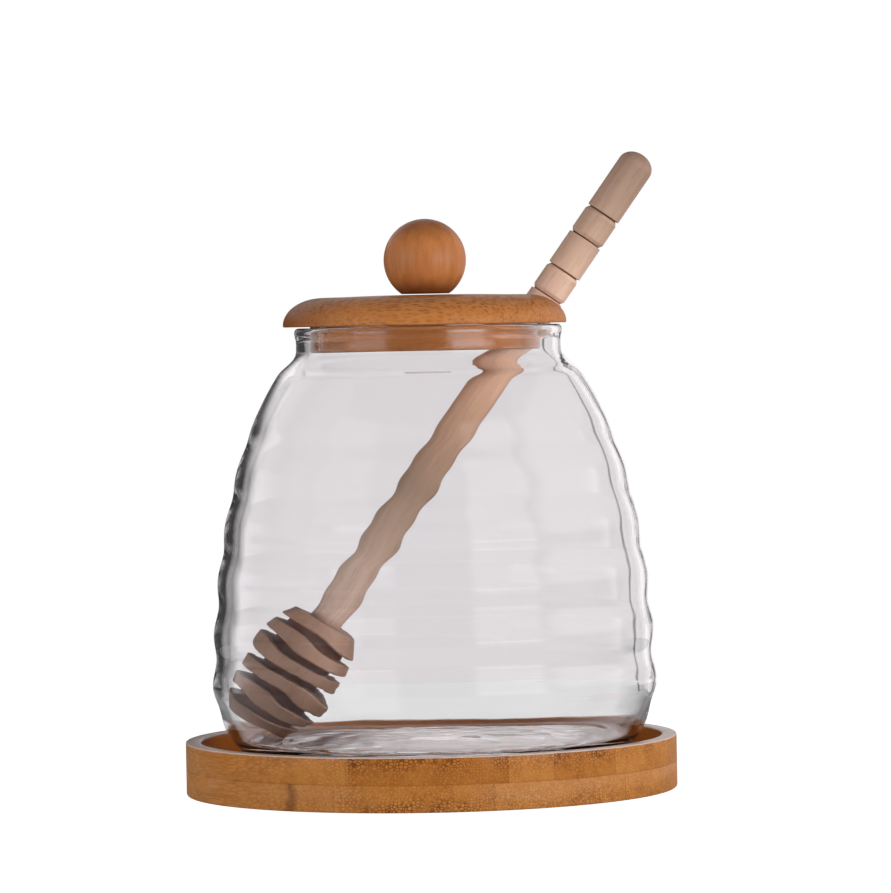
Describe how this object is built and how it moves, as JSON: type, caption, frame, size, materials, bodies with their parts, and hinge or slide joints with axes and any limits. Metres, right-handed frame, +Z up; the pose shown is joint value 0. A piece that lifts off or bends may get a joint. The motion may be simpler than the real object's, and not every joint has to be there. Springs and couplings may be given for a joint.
{
  "type": "honey jar with dipper",
  "caption": "Clear ribbed beehive honey jar with a bamboo plug lid and ball knob, a leaning wooden honey dipper and a round bamboo tray.",
  "frame": {"origin": "centre of the tray's underside, the face that the set stands on", "axes": "+Z up through the tray and knob, +X to the side that the dipper leans out of, -Y the side the picture shows"},
  "size_m": [0.1228, 0.1228, 0.1586],
  "materials": {
    "bamboo": "caramel bamboo strips, satin lacquer",
    "clear_glass": "clear, polished",
    "stained_wood": "reddish brown fine-grained wood, satin lacquer",
    "pale_wood": "pale turned wood, bare and matte"
  },
  "bodies": {
    "root": {"tray": "bamboo", "jar": "clear_glass", "lid": "bamboo", "knob": "stained_wood", "dipper": "pale_wood"}
  },
  "joints": []
}
